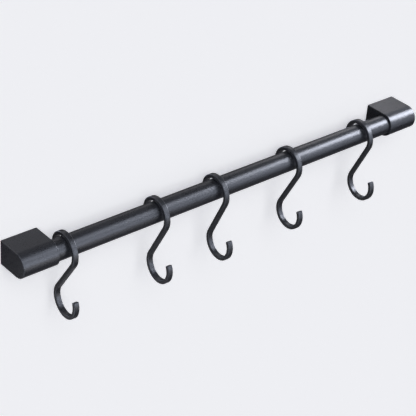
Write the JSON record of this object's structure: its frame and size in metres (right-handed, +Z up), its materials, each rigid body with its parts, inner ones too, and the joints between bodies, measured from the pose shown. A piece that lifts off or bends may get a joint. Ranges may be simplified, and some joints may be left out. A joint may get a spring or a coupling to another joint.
{
  "type": "kitchen utensil rail",
  "caption": "Round black wall rail for kitchen utensils, held by two D-shaped end brackets with a concealed fixing, with sliding S hooks.",
  "frame": {"origin": "on the wall plane, half way between the two brackets, at the height of the tube's axis, which is also the centre of both wall screw patterns", "axes": "+X along the rail to the right as seen from the room, +Y into the wall, +Z up; the hooks open to -Y, into the room"},
  "size_m": [0.385, 0.042, 0.069],
  "materials": {
    "black_tube": "satin black powder coat with a fine grain",
    "black_bracket": "satin black powder coat with a fine grain",
    "black_hook": "satin black powder coat with a fine grain",
    "zinc_plate": "zinc-plated steel, hidden behind the bracket",
    "dark_screw": "blackened steel"
  },
  "bodies": {
    "rail": {"rail_tube": "black_tube", "left_bracket": "black_bracket", "right_bracket": "black_bracket", "left_wall_plate": "zinc_plate", "right_wall_plate": "zinc_plate", "left_set_screw": "dark_screw", "right_set_screw": "dark_screw"},
    "sliding_hook_1": {"hook_1": "black_hook"},
    "sliding_hook_2": {"hook_2": "black_hook"},
    "sliding_hook_3": {"hook_3": "black_hook"},
    "sliding_hook_4": {"hook_4": "black_hook"},
    "sliding_hook_5": {"hook_5": "black_hook"}
  },
  "joints": [
    {"name": "hook_1_slide", "type": "slide", "parent": "rail", "child": "sliding_hook_1", "axis": [1, 0, 0], "range_m": [-0.0076, 0.0369]},
    {"name": "hook_2_slide", "type": "slide", "parent": "rail", "child": "sliding_hook_2", "axis": [1, 0, 0], "range_m": [-0.0369, 0.0249]},
    {"name": "hook_3_slide", "type": "slide", "parent": "rail", "child": "sliding_hook_3", "axis": [1, 0, 0], "range_m": [-0.0249, 0.0342]},
    {"name": "hook_4_slide", "type": "slide", "parent": "rail", "child": "sliding_hook_4", "axis": [1, 0, 0], "range_m": [-0.0342, 0.0363]},
    {"name": "hook_5_slide", "type": "slide", "parent": "rail", "child": "sliding_hook_5", "axis": [1, 0, 0], "range_m": [-0.0363, 0.0238]}
  ]
}
